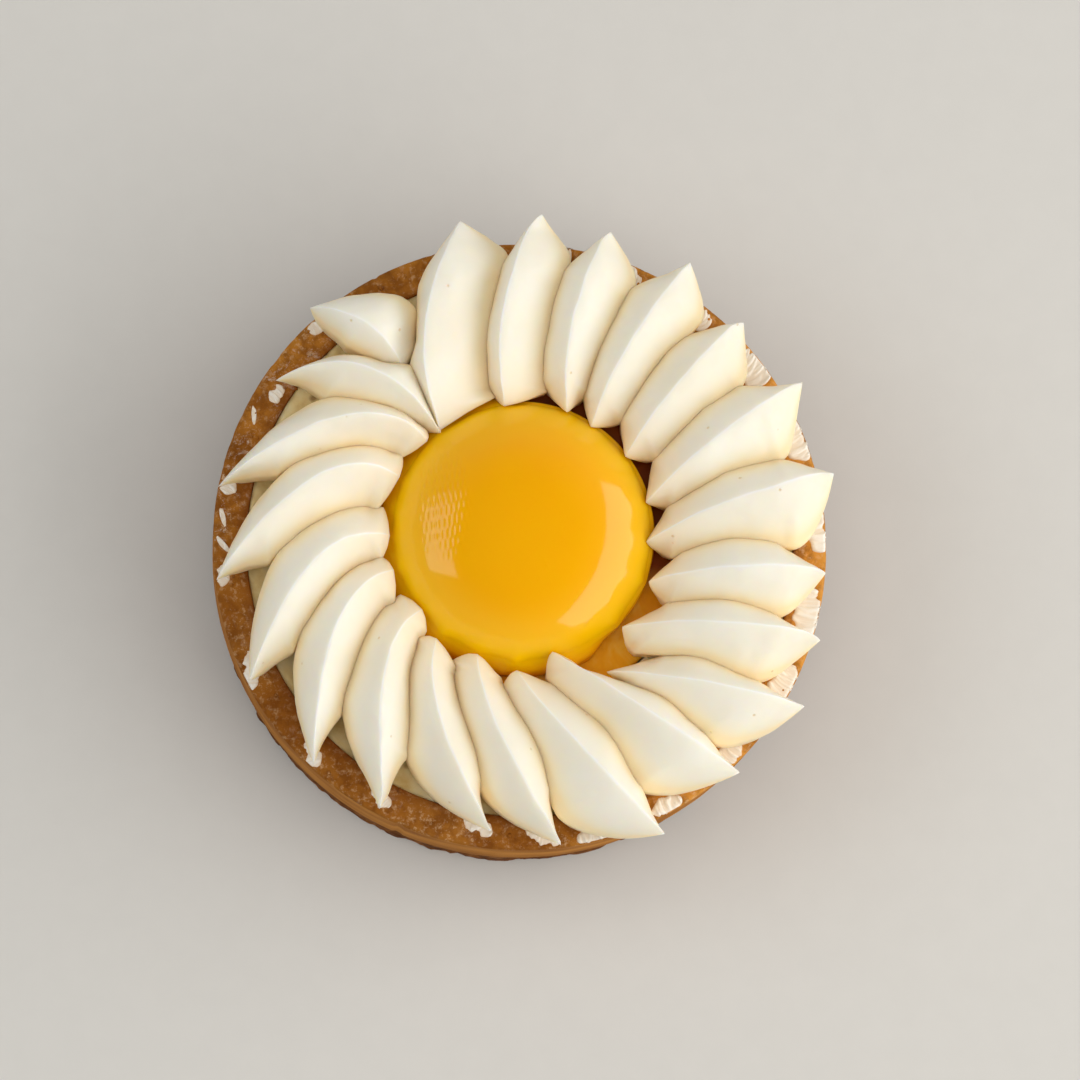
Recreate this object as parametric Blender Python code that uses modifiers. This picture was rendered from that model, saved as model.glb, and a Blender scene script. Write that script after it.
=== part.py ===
# Mango tart: a straight-sided shortcrust shell filled with pale cream, a disc and a glossy dome of
# mango jelly in the middle, and a ring of cream petals piped with a slit nozzle.
# Metres, +Z up, origin at the middle of the flat underside.
import math

import bmesh
import bpy
import numpy as np

MM = 0.001
NAME = "mango_tart"

# Fit between pieces that touch
GAP = 0.3 * MM

# Crust
CRUST_RADIUS = 40.0 * MM
CRUST_HEIGHT = 20.0 * MM
RIM_WIDTH = 4.4 * MM
FLOOR_THICKNESS = 3.0 * MM
RIM_ROUND = 0.8 * MM
BAND_HEIGHT = 9.5 * MM
BAND_STEP = 0.35 * MM
FOOT_ROUND = 0.7 * MM
CRUST_STEPS = 120
RIM_STEPS = 2
CRAG_DEPTH = 0.45 * MM
CRAG_TURNS = (17, 41, 59)
CRAG_SETBACK = 0.5
CRAG_FADE_START = 0.35
CRAG_ROW = 0.45

# Filling, jelly disc and dome
FILLING_TOP = 19.0 * MM
JELLY_RADIUS = 22.4 * MM
JELLY_DEPTH = 2.0 * MM
JELLY_EDGE = 0.4 * MM
DOME_RADIUS = 17.2 * MM
DOME_HEIGHT = 10.2 * MM
DOME_OFFSET = 1.2 * MM
DOME_WIDEST = 0.06
DOME_FULLNESS = 0.55
DOME_POWERS = (2.9, 2.3)
DOME_FOOT = 0.5 * MM
DOME_RINGS = 9
ROUND_STEPS = 56

# Ring of petals: the first stands at the top, and the rest follow clockwise, ever wider apart
PETAL_COUNT = 21
FIRST_TIP = 100.8
FIRST_SPACING = 14.0
SPACING_GROWTH = 0.25
TIP_RADIUS = 40.4 * MM
INNER_RADIUS = 17.2 * MM
TIP_HEIGHT = 25.4 * MM
INNER_HEIGHT = 24.3 * MM
CREST_ARCH = 4.6 * MM

# Each petal as the hand left it: its tip's drift along the rim and outward, and its lean
# (degrees that the tip lies anticlockwise of the inner end)
TIP_DRIFT = (0.4, 1, 2.5, 1.1, 2.5, 1.9, -0.4, -3.2, 0.3, 3.3, 3,
             2.3, 0.5, 4.5, 0.8, 2.9, 1.6, -1.1, -1, -4.2, -0.4)
TIP_REACH = (2, 2.3, 1.7, 2.1, 0.1, 0.7, 0.9, -0.9, 0, 1.9, 0.8,
             2, -1, -2.1, -1.6, -0.7, -0.5, -0.8, -1.1, -2.5, 0.3)
LEAN = (-26, -10, 4, 0.1, 6.5, 13.2, 13.6, 13, 23.7, 27, 28, 28, 28, 34, 27, 33, 29, 34, 35, 20, 7.7)
# Inner ends that stop short of the ring or run past it
INNER_REACH = {0: 0.5, 1: 0.3, 2: 0.4, 5: -0.5, 6: -1.2, 9: 3.2, 10: -2,
               12: -1, 14: -1.2, 17: 0.6, 18: 0.5, 19: 0.2, 20: 9.8}

# How far each crest bows to its clockwise side: the first ones bow the other way, the petals before
# the eighth are nearly straight, and from there the bow grows
FIRST_BOWS = (-3.4 * MM, -2.3 * MM, -1.9 * MM, -1.2 * MM)
EARLY_BOW = -0.7 * MM
LATE_BOW = 4.6 * MM
LAST_BOW = 1.6 * MM
BOW_RISE = (7.5, 17)
BOW_PLACE = 0.6
BOW_DRIFT = 0.01
OWN_BOW_PLACE = {19: 0.42, 20: 0.55}
OVERRUN = 0.2
CURVE_POINTS = 57

# Creases: how far along from one crest to the next they lie, a half where nothing pushes them.
# Towards the rim each petal spreads clockwise against the narrowing flank of the next.
FIRST_PUSH = 0.38
EARLY_OUTER_PUSH = 0.12
OUTER_PUSH = 0.31
LATE_OUTER_PUSH = 0.16
PUSH_RISE = (3.5, 8)
PUSH_FADE = 1.6
PUSH_START = 25.0 * MM
PUSH_FULL = 36.5 * MM
LATE_SHARE = 0.44
LAST_SHARE = 0.84
CLOSED_SHARE = 0.68
CLOSED_BEFORE = 1.0 * MM
CLOSED_AFTER = 2.5 * MM

# Petal section and ends
SECTION_SIDES = 12
SECTIONS = 15
SHARP_ANGLE = 40
ARCH_POWER = 0.75
VALLEY_SHARE = 0.42
CREST_SHARPNESS = 0.62
FOOT_TUCK = 0.94
LATE_RISE = (11, 16)
CLOCKWISE_TAPER = 6.2 * MM
CLOCKWISE_POWER = 1.8
LATE_CLOCKWISE_TAPER = 9.0 * MM
LATE_CLOCKWISE_POWER = 1.25
ANTICLOCKWISE_TAPER = 6.6 * MM
OUTER_LIFT = 3.0 * MM
OUTER_LIFT_POWER = 1.5
POINTED_TAPER = 3.6 * MM
POINTED_POWER = 0.75
BLUNT_TAPER = 1.3 * MM
BLUNT_POWER = 0.5
BLUNT_RISE = (8, 14)
BLUNT_FADE = 0.5
OWN_BLUNT = {19: 0.3}
INNER_LIFT = 2.6 * MM
INNER_LIFT_POWER = 0.9
RIM_CLIMB = (2.6 * MM, 0.3 * MM)

COLOURS = {
    "crust": (0.47, 0.22, 0.065, 0.85),
    "filling": (0.86, 0.78, 0.50, 0.55),
    "jelly": (0.80, 0.36, 0.02, 0.15),
    "dome": (0.96, 0.45, 0.005, 0.12),
    "cream": (0.93, 0.88, 0.70, 0.45),
}


def clear_scene():
    for obj in list(bpy.data.objects):
        bpy.data.objects.remove(obj)


def make_collection(name):
    collection = bpy.data.collections.new(name)
    bpy.context.scene.collection.children.link(collection)
    return collection


def make_material(name):
    red, green, blue, roughness = COLOURS[name]
    material = bpy.data.materials.new(name)
    material.use_nodes = True
    shader = material.node_tree.nodes["Principled BSDF"]
    shader.inputs["Base Color"].default_value = (red, green, blue, 1.0)
    shader.inputs["Roughness"].default_value = roughness
    shader.inputs["Metallic"].default_value = 0.0
    return material


def smoothstep(low, high, value):
    share = min(1.0, max(0.0, (value - low) / (high - low)))
    return share * share * (3.0 - 2.0 * share)


def mix(a, b, share):
    return a + (b - a) * share


def add_object(name, mesh, collection, material):
    mesh.materials.append(material)
    obj = bpy.data.objects.new(name, mesh)
    collection.objects.link(obj)
    return obj


# Turned pieces
def add_turned(name, profile, steps, collection, material):
    # The profile runs from the axis over the top, down the outer side and back to the axis
    mesh = bpy.data.meshes.new(name)
    edges = [(k, k + 1) for k in range(len(profile) - 1)]
    mesh.from_pydata([(radius, 0.0, height) for radius, height in profile], edges, [])
    obj = add_object(name, mesh, collection, material)
    screw = obj.modifiers.new("turn", "SCREW")
    screw.steps = steps
    screw.render_steps = steps
    screw.use_merge_vertices = True
    screw.merge_threshold = 0.00005
    screw.use_smooth_shade = False
    return obj


def arc_points(centre, radius, start, end, count):
    points = []
    for k in range(count + 1):
        angle = math.radians(mix(start, end, k / count))
        points.append((centre[0] + radius * math.cos(angle), centre[1] + radius * math.sin(angle)))
    return points


def crag(azimuth, height):
    # Toasted lower edge: uneven bumps that fade out under the smooth upper band
    wave = sum(math.sin(turns * azimuth + turns) for turns in CRAG_TURNS) / len(CRAG_TURNS)
    fade = 1.0 - smoothstep(CRAG_FADE_START * BAND_HEIGHT, BAND_HEIGHT, height)
    return CRAG_DEPTH * fade * (wave - CRAG_SETBACK)


def build_crust(collection, material):
    inner = CRUST_RADIUS - RIM_WIDTH
    rim_round = arc_points((CRUST_RADIUS - RIM_ROUND, CRUST_HEIGHT - RIM_ROUND), RIM_ROUND, 90, 0, RIM_STEPS)
    profile = [(0.0, FLOOR_THICKNESS), (inner, FLOOR_THICKNESS), (inner, CRUST_HEIGHT)]
    profile += rim_round
    profile += [
        (CRUST_RADIUS, BAND_HEIGHT + BAND_STEP),
        (CRUST_RADIUS - BAND_STEP, BAND_HEIGHT - BAND_STEP),
        (CRUST_RADIUS - BAND_STEP, CRAG_ROW * BAND_HEIGHT),
        (CRUST_RADIUS - BAND_STEP, FOOT_ROUND),
        (CRUST_RADIUS - BAND_STEP - FOOT_ROUND, 0.0),
        (0.0, 0.0),
    ]
    crust = add_turned("crust", profile, CRUST_STEPS, collection, material)
    graph = bpy.context.evaluated_depsgraph_get()
    turned = bpy.data.meshes.new_from_object(crust.evaluated_get(graph))
    crust.modifiers.clear()
    crust.data = turned
    for vertex in turned.vertices:
        radius = math.hypot(vertex.co.x, vertex.co.y)
        if radius > CRUST_RADIUS - 2 * FOOT_ROUND and vertex.co.z < BAND_HEIGHT:
            azimuth = math.atan2(vertex.co.y, vertex.co.x)
            shift = 1.0 + crag(azimuth, vertex.co.z) / radius
            vertex.co.x *= shift
            vertex.co.y *= shift
    return crust


def build_filling(collection, cutters, material):
    radius = CRUST_RADIUS - RIM_WIDTH - GAP
    bottom = FLOOR_THICKNESS + GAP
    profile = [(0.0, FILLING_TOP), (radius, FILLING_TOP), (radius, bottom), (0.0, bottom)]
    filling = add_turned("filling", profile, ROUND_STEPS, collection, material)
    recess_radius = JELLY_RADIUS + GAP
    recess_depth = JELLY_DEPTH + GAP
    bpy.ops.mesh.primitive_cylinder_add(
        vertices=ROUND_STEPS, radius=recess_radius, depth=2 * recess_depth,
        location=(0.0, DOME_OFFSET, FILLING_TOP))
    recess = bpy.context.object
    recess.name = "jelly_recess"
    for owner in list(recess.users_collection):
        owner.objects.unlink(recess)
    cutters.objects.link(recess)
    recess.display_type = "WIRE"
    recess.hide_render = True
    cut = filling.modifiers.new("recess", "BOOLEAN")
    cut.object = recess
    cut.solver = "EXACT"
    return filling


def build_jelly_disc(collection, material):
    profile = [
        (0.0, FILLING_TOP),
        (JELLY_RADIUS - JELLY_EDGE, FILLING_TOP),
        (JELLY_RADIUS, FILLING_TOP - JELLY_EDGE),
        (JELLY_RADIUS, FILLING_TOP - JELLY_DEPTH),
        (0.0, FILLING_TOP - JELLY_DEPTH),
    ]
    disc = add_turned("jelly_disc", profile, ROUND_STEPS, collection, material)
    disc.location.y = DOME_OFFSET
    return disc


def build_dome(collection, material):
    # A flattened half ball, fuller at the shoulder, with its widest ring just above its foot
    base = FILLING_TOP + GAP
    widest = DOME_WIDEST * DOME_HEIGHT
    profile = [(0.0, base + DOME_HEIGHT)]
    for k in range(1, DOME_RINGS + 1):
        angle = math.radians(90 - 90 * k / DOME_RINGS)
        share = math.cos(angle)
        full = (1.0 - share ** DOME_POWERS[0]) ** (1.0 / DOME_POWERS[1])
        rise = mix(math.sin(angle), full, DOME_FULLNESS)
        profile.append((DOME_RADIUS * share, base + widest + (DOME_HEIGHT - widest) * rise))
    profile += [(DOME_RADIUS - DOME_FOOT, base), (0.0, base)]
    dome = add_turned("dome", profile, ROUND_STEPS, collection, material)
    dome.location.y = DOME_OFFSET
    return dome


# Piped petals
def tip_azimuth(index):
    spread = FIRST_SPACING * index + SPACING_GROWTH * index * (index - 1) / 2
    return FIRST_TIP - spread + TIP_DRIFT[index]


def tip_radius(index):
    return TIP_RADIUS + TIP_REACH[index] * MM


def inner_radius(index):
    return INNER_RADIUS + INNER_REACH.get(index, 0.0) * MM


def lateness(index):
    # The petals piped last are slimmer towards the rim
    return smoothstep(*LATE_RISE, index)


def crest_bow(index):
    if index < len(FIRST_BOWS):
        return FIRST_BOWS[index]
    if index == PETAL_COUNT - 1:
        return LAST_BOW
    return mix(EARLY_BOW, LATE_BOW, smoothstep(*BOW_RISE, index))


def crest_curve(index):
    # Plan of a crest as azimuths (degrees) against rising radii, run on a little past both ends
    start = math.radians(tip_azimuth(index))
    end = math.radians(tip_azimuth(index) - LEAN[index])
    outer = np.array((math.cos(start), math.sin(start))) * tip_radius(index)
    inner = np.array((math.cos(end), math.sin(end))) * inner_radius(index)
    chord = inner - outer
    clockwise = np.array((-chord[1], chord[0])) / np.linalg.norm(chord)
    place = OWN_BOW_PLACE.get(index, BOW_PLACE + BOW_DRIFT * index)
    control = outer + chord * place + clockwise * 2 * crest_bow(index)
    t = np.linspace(-OVERRUN, 1.0 + OVERRUN, CURVE_POINTS)[:, None]
    points = (1 - t) ** 2 * outer + 2 * t * (1 - t) * control + t ** 2 * inner
    radii = np.minimum.accumulate(np.hypot(points[:, 0], points[:, 1]))
    azimuths = np.degrees(np.arctan2(points[:, 1], points[:, 0]))
    azimuths = tip_azimuth(index) + (azimuths - tip_azimuth(index) + 180) % 360 - 180
    return radii[::-1], azimuths[::-1]


def crest_azimuth(curves, index, radius):
    # The ring closes on itself: the petal after the last is the first, a turn further on
    turn, index = divmod(index, PETAL_COUNT)
    radii, azimuths = curves[index]
    return float(np.interp(radius, radii, azimuths)) - 360 * turn


def valley_azimuth(curves, index, radius):
    # Crease between a petal and the next clockwise. The first petals push it clockwise, and where
    # the short last petal has ended, the petals on both sides of it meet.
    last = PETAL_COUNT - 1
    outer_push = mix(EARLY_OUTER_PUSH, OUTER_PUSH, smoothstep(*PUSH_RISE, index))
    outer_push = mix(outer_push, LATE_OUTER_PUSH, lateness(index))
    outer_push *= smoothstep(PUSH_START, PUSH_FULL, radius)
    push = max(FIRST_PUSH * math.exp(-index / PUSH_FADE), outer_push)
    share = mix(0.5, LATE_SHARE, lateness(index)) + push
    here = crest_azimuth(curves, index, radius)
    after = crest_azimuth(curves, index + 1, radius)
    end = inner_radius(last)
    closed = 1.0 - smoothstep(end - CLOSED_BEFORE, end + CLOSED_AFTER, radius)
    if index == last:
        here = mix(here, crest_azimuth(curves, index - 1, radius), closed)
        share = mix(LAST_SHARE, CLOSED_SHARE, closed)
    if index == last - 1:
        after = mix(after, crest_azimuth(curves, index + 2, radius), closed)
        share = mix(share, CLOSED_SHARE, closed)
    return mix(here, after, share)


def outer_share(radius, tip, index, is_clockwise):
    # The clockwise flank keeps its width nearly to the rim, less so on the last petals, and the
    # other flank narrows evenly along the crest
    length = ANTICLOCKWISE_TAPER
    power = 1.0
    if is_clockwise:
        late = lateness(index)
        length = mix(CLOCKWISE_TAPER, LATE_CLOCKWISE_TAPER, late)
        power = mix(CLOCKWISE_POWER, LATE_CLOCKWISE_POWER, late)
    reach = min(1.0, max(0.0, (radius - (tip - length)) / length))
    return 1.0 - reach ** power


def inner_share(radius, inner, index, is_clockwise):
    # Blunt inner ends on the first petals and on the second half of the ring, pointed ones between
    blunt = OWN_BLUNT.get(index, smoothstep(*BLUNT_RISE, index))
    if is_clockwise:
        blunt = max(blunt, 1.0 - BLUNT_FADE * index)
    length = mix(POINTED_TAPER, BLUNT_TAPER, blunt)
    reach = min(1.0, max(0.0, (radius - inner) / length))
    return reach ** mix(POINTED_POWER, BLUNT_POWER, blunt)


def petal_underside(radius, tip, inner):
    bed = FILLING_TOP + GAP
    rim = CRUST_HEIGHT + GAP
    rim_inner = CRUST_RADIUS - RIM_WIDTH
    level = mix(bed, rim, smoothstep(rim_inner - RIM_CLIMB[0], rim_inner - RIM_CLIMB[1], radius))
    outer_lift = max(0.0, (radius - (tip - OUTER_LIFT)) / OUTER_LIFT)
    inner_lift = max(0.0, 1.0 - (radius - inner) / INNER_LIFT)
    level = mix(level, TIP_HEIGHT, outer_lift ** OUTER_LIFT_POWER)
    return mix(level, INNER_HEIGHT, inner_lift ** INNER_LIFT_POWER)


def section_point(curves, index, along, corner):
    # Corner 0 is on the crest and the last step is the middle of the underside, with a foot edge
    # on each side of it and the flanks between; low corners are the clockwise side
    tip = tip_radius(index)
    inner = inner_radius(index)
    radius = mix(tip, inner, along)
    crest = crest_azimuth(curves, index, radius)
    arch = (4 * along * (1 - along)) ** ARCH_POWER
    crest_height = mix(TIP_HEIGHT, INNER_HEIGHT, along) + CREST_ARCH * arch
    underside = petal_underside(radius, tip, inner)
    valley_height = mix(underside, crest_height, VALLEY_SHARE * math.sqrt(arch))
    bottom = SECTION_SIDES // 2
    is_clockwise = corner < bottom
    valley = valley_azimuth(curves, index if is_clockwise else (index - 1) % PETAL_COUNT, radius)
    if index == 0 and not is_clockwise:
        valley += 360
    ends = outer_share(radius, tip, index, is_clockwise) * inner_share(radius, inner, index, is_clockwise)
    half_gap = math.degrees(GAP / 2 / radius)
    side = -1 if is_clockwise else 1
    width = max(0.0, side * (valley - crest) - half_gap) * ends
    step = min(corner, SECTION_SIDES - corner)
    if step == bottom:
        return radius, crest, underside
    if step == bottom - 1:
        return radius, crest + side * width * FOOT_TUCK, underside
    down = step / (bottom - 2)
    drop = CREST_SHARPNESS * down + (1 - CREST_SHARPNESS) * down * down
    return radius, crest + side * width * down, mix(crest_height, valley_height, drop)


def build_petal(index, curves, collection, material):
    # A ball whose poles become the tip and the inner end, and whose rings become the sections
    mesh = bpy.data.meshes.new(f"cream_petal_{index + 1:02d}")
    ball = bmesh.new()
    bmesh.ops.create_uvsphere(ball, u_segments=SECTION_SIDES, v_segments=SECTIONS, radius=1.0)
    for vertex in ball.verts:
        along = (1.0 - vertex.co.z) / 2.0
        turn = math.atan2(vertex.co.y, vertex.co.x) / (2 * math.pi) * SECTION_SIDES
        corner = round(turn) % SECTION_SIDES
        radius, azimuth, height = section_point(curves, index, along, corner)
        azimuth = math.radians(azimuth)
        vertex.co = (radius * math.cos(azimuth), radius * math.sin(azimuth), height)
    bmesh.ops.recalc_face_normals(ball, faces=ball.faces)
    ball.to_mesh(mesh)
    ball.free()
    mesh.shade_smooth()
    mesh.set_sharp_from_angle(angle=math.radians(SHARP_ANGLE))
    return add_object(mesh.name, mesh, collection, material)


def build():
    clear_scene()
    collection = make_collection(NAME)
    cutters = make_collection("cutters")
    build_crust(collection, make_material("crust"))
    build_filling(collection, cutters, make_material("filling"))
    build_jelly_disc(collection, make_material("jelly"))
    build_dome(collection, make_material("dome"))
    cream = make_material("cream")
    curves = [crest_curve(index) for index in range(PETAL_COUNT)]
    for index in range(PETAL_COUNT):
        build_petal(index, curves, collection, cream)


build()
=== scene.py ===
import math

import bpy
import numpy as np
from mathutils import Matrix, Vector, noise


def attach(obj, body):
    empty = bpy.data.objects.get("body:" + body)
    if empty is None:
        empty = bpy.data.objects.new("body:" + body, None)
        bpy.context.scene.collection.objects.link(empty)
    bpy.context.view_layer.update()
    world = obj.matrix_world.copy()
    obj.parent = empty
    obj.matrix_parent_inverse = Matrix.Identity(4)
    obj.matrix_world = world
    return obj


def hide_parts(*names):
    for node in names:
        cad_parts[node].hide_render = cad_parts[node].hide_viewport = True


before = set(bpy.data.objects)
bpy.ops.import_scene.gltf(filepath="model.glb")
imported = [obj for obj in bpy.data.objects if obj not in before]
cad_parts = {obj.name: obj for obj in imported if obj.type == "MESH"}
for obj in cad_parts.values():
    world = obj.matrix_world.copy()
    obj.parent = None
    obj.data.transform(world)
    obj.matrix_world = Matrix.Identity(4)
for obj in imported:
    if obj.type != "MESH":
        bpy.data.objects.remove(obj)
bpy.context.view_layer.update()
print("frame loaded:", len(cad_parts), "nodes")
mm = 0.001


# small helpers

def deselectAll():
    if bpy.context.object and bpy.context.object.mode != "OBJECT":
        bpy.ops.object.mode_set(mode="OBJECT")
    bpy.ops.object.select_all(action="DESELECT")


def smoothstep(low, high, value):
    share = min(1.0, max(0.0, (value - low) / (high - low)))
    return share * share * (3.0 - 2.0 * share)


def mix(a, b, share):
    return a + (b - a) * share


def grain(point, size, seed=0.0, octaves=3):
    # soft fractal noise of about that feature size, -1 to 1
    place = Vector(point) / size + Vector((seed * 7.31, seed * 3.77, seed * 5.13))
    return noise.fractal(place, 1.0, 2.0, octaves)


def angleGap(a, b):
    return (a - b + 180) % 360 - 180


def finishPiece(obj, material, nodeName=None, smooth=None):
    # place into the mesh, normals out, smooth shading, material, body, and the CAD part it replaces hidden
    deselectAll()
    obj.select_set(True)
    bpy.context.view_layer.objects.active = obj
    bpy.ops.object.transform_apply(location=True, rotation=True, scale=True)
    bpy.ops.object.mode_set(mode="EDIT")
    bpy.ops.mesh.select_all(action="SELECT")
    bpy.ops.mesh.normals_make_consistent(inside=False)
    bpy.ops.object.mode_set(mode="OBJECT")
    if smooth is None:
        bpy.ops.object.shade_smooth()
    else:
        bpy.ops.object.shade_smooth_by_angle(angle=math.radians(smooth))
    obj.data.materials.clear()
    obj.data.materials.append(material)
    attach(obj, "root")
    if nodeName:
        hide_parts(nodeName)
    return obj


def turnProfile(name, points, steps):
    # one corner of a plane is drawn out along the profile, then spun round the axis
    deselectAll()
    bpy.ops.mesh.primitive_plane_add(size=1 * mm, location=(0, 0, 0))
    obj = bpy.context.object
    obj.name = name
    bpy.ops.object.mode_set(mode="EDIT")
    bpy.ops.mesh.select_all(action="SELECT")
    bpy.ops.mesh.merge(type="CENTER")
    radius, height = points[0]
    bpy.ops.transform.translate(value=(radius, 0, height))
    for nextRadius, nextHeight in points[1:]:
        step = (nextRadius - radius, 0, nextHeight - height)
        bpy.ops.mesh.extrude_region_move(TRANSFORM_OT_translate={"value": step})
        radius, height = nextRadius, nextHeight
    bpy.ops.mesh.select_all(action="SELECT")
    bpy.ops.mesh.spin(steps=steps, angle=2 * math.pi, center=(0, 0, 0), axis=(0, 0, 1))
    bpy.ops.mesh.select_all(action="SELECT")
    bpy.ops.mesh.remove_doubles(threshold=0.002 * mm)
    bpy.ops.mesh.normals_make_consistent(inside=False)
    bpy.ops.object.mode_set(mode="OBJECT")
    return obj


def moveVertices(obj, rule):
    # sculpt-like move of every vertex
    for vertex in obj.data.vertices:
        vertex.co = rule(vertex.co.copy())
    obj.data.update()


# node helpers

def newMaterial(name):
    material = bpy.data.materials.new(name)
    material.use_nodes = True
    nodes = material.node_tree.nodes
    shader = nodes["Principled BSDF"]
    coords = nodes.new("ShaderNodeTexCoord")
    return material, nodes, material.node_tree.links, shader, coords.outputs["Object"]


def noiseNode(nodes, links, place, scale, detail=3.0, rough=0.5, distort=0.0, stretch=None):
    if stretch:
        mapping = nodes.new("ShaderNodeMapping")
        mapping.inputs["Scale"].default_value = stretch
        links.new(place, mapping.inputs["Vector"])
        place = mapping.outputs["Vector"]
    node = nodes.new("ShaderNodeTexNoise")
    node.inputs["Scale"].default_value = scale
    node.inputs["Detail"].default_value = detail
    node.inputs["Roughness"].default_value = rough
    node.inputs["Distortion"].default_value = distort
    links.new(place, node.inputs["Vector"])
    return node.outputs["Fac"]


def voronoiNode(nodes, links, place, scale):
    node = nodes.new("ShaderNodeTexVoronoi")
    node.inputs["Scale"].default_value = scale
    links.new(place, node.inputs["Vector"])
    return node.outputs["Distance"]


def rampNode(nodes, links, value, stops):
    node = nodes.new("ShaderNodeValToRGB")
    while len(node.color_ramp.elements) < len(stops):
        node.color_ramp.elements.new(0.5)
    for element, (position, colour) in zip(node.color_ramp.elements, stops):
        element.position = position
        element.color = (*colour, 1.0)
    links.new(value, node.inputs["Fac"])
    return node.outputs["Color"]


def mapNode(nodes, links, value, low, high, outLow=0.0, outHigh=1.0):
    node = nodes.new("ShaderNodeMapRange")
    node.inputs["From Min"].default_value = low
    node.inputs["From Max"].default_value = high
    node.inputs["To Min"].default_value = outLow
    node.inputs["To Max"].default_value = outHigh
    links.new(value, node.inputs["Value"])
    return node.outputs["Result"]


def mathNode(nodes, links, operation, *values):
    node = nodes.new("ShaderNodeMath")
    node.operation = operation
    for slot, value in zip(node.inputs, values):
        if isinstance(value, (int, float)):
            slot.default_value = value
        else:
            links.new(value, slot)
    return node.outputs["Value"]


def attributeNode(nodes, name):
    node = nodes.new("ShaderNodeAttribute")
    node.attribute_name = name
    return node.outputs["Fac"]


def mixColours(nodes, links, share, a, b):
    node = nodes.new("ShaderNodeMix")
    node.data_type = "RGBA"
    for socket, value in ((node.inputs[0], share), (node.inputs[6], a), (node.inputs[7], b)):
        if isinstance(value, (int, float)):
            socket.default_value = value
        elif isinstance(value, tuple):
            socket.default_value = (*value, 1.0)
        else:
            links.new(value, socket)
    return node.outputs[2]


def bumpNode(nodes, links, shader, height, strength, distance, below=None):
    node = nodes.new("ShaderNodeBump")
    node.inputs["Strength"].default_value = strength
    node.inputs["Distance"].default_value = distance
    links.new(height, node.inputs["Height"])
    if below is not None:
        links.new(below, node.inputs["Normal"])
    links.new(node.outputs["Normal"], shader.inputs["Normal"])
    return node.outputs["Normal"]


def polarNodes(nodes, links, place):
    # distance from the tart's axis, height and azimuth in degrees
    parts = nodes.new("ShaderNodeSeparateXYZ")
    links.new(place, parts.inputs["Vector"])
    x, y, z = parts.outputs
    squareX = mathNode(nodes, links, "MULTIPLY", x, x)
    squareY = mathNode(nodes, links, "MULTIPLY", y, y)
    radius = mathNode(nodes, links, "SQRT", mathNode(nodes, links, "ADD", squareX, squareY))
    azimuth = mathNode(nodes, links, "MULTIPLY", mathNode(nodes, links, "ARCTAN2", y, x), 180 / math.pi)
    return radius, z, azimuth


# camera, where the photograph was taken from

cameraSet = {
    "lens": 175,
    "sensor": 36,
    "rimCentre": (0, 0, 0.020),
    "direction": (-0.0602, -0.1536, 0.986),
    "distance": 0.683,
    "aim": (0.0025, 0.0005, 0.020),
}


def addCamera():
    aim = Vector(cameraSet["aim"])
    place = Vector(cameraSet["rimCentre"]) + cameraSet["distance"] * Vector(cameraSet["direction"])
    forward = (aim - place).normalized()
    up = (Vector((0, 1, 0)) - forward * forward.y).normalized()
    right = forward.cross(up)
    data = bpy.data.cameras.new("camera")
    data.lens = cameraSet["lens"]
    data.sensor_width = cameraSet["sensor"]
    data.clip_start = 0.01
    camera = bpy.data.objects.new("camera", data)
    bpy.context.scene.collection.objects.link(camera)
    camera.matrix_world = Matrix((
        (right.x, up.x, -forward.x, place.x),
        (right.y, up.y, -forward.y, place.y),
        (right.z, up.z, -forward.z, place.z),
        (0, 0, 0, 1)))
    bpy.context.scene.camera = camera


addCamera()


# crust: turned shell, planed rim, smooth band over a rough toasted foot

crustSet = {
    "radius": 40.0 * mm,
    "height": 20.0 * mm,
    "wall": 4.4 * mm,
    "floor": 3.0 * mm,
    "bandFoot": 9.5 * mm,
    "bandStep": 0.35 * mm,
    "steps": 480,
    "rimEdge": 0.55 * mm,
    "innerBreak": 0.25 * mm,    # the broken inner edge starts this far down
    "footBreak": 0.7 * mm,
    "cragDepth": 0.62 * mm,
    "cragPitch": 2.3 * mm,
    "chipDepth": 0.7 * mm,
    "chipAzimuth": 128,         # most of the chips are round here
    "chipSpread": 42,
    "flat": 0.2 * mm,           # the edge at the back is a little flat
    "flatAzimuth": 88,
    "flatSpread": 13,
    "seam": -113.0,             # azimuth of the seam in the wall
    "seamSpread": 0.7,
    "seamDepth": 0.28 * mm,
    "tornDepth": 0.25 * mm,
}


def crustProfile():
    s = crustSet
    inner = s["radius"] - s["wall"]
    outer = s["radius"] - s["bandStep"]
    points = [(0, s["floor"])]
    points += [(inner * k / 12, s["floor"]) for k in range(1, 12)]
    points += [(inner, mix(s["floor"], s["height"] - s["innerBreak"], k / 20)) for k in range(21)]
    points += [(inner + 0.07 * mm, s["height"] - 0.07 * mm)]
    points += [(mix(inner + 0.3 * mm, s["radius"] - s["rimEdge"], k / 11), s["height"]) for k in range(12)]
    for k in range(1, 7):  # rounded outer edge of the rim
        angle = math.radians(90 - 90 * k / 6)
        points.append((s["radius"] + s["rimEdge"] * (math.cos(angle) - 1),
                       s["height"] + s["rimEdge"] * (math.sin(angle) - 1)))
    top = s["height"] - s["rimEdge"]
    foot = s["bandFoot"]
    points += [(s["radius"], mix(top, foot + 0.5 * mm, k / 14)) for k in range(1, 15)]
    points += [(s["radius"] - 0.12 * mm, foot + 0.2 * mm), (outer + 0.08 * mm, foot - 0.1 * mm)]
    points += [(outer, mix(foot - 0.4 * mm, s["footBreak"], k / 20)) for k in range(21)]
    points += [(outer - 0.2 * mm, 0.22 * mm), (outer - s["footBreak"], 0)]
    points += [(mix(outer - s["footBreak"], 0, k / 14), 0) for k in range(1, 15)]
    return points


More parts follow.
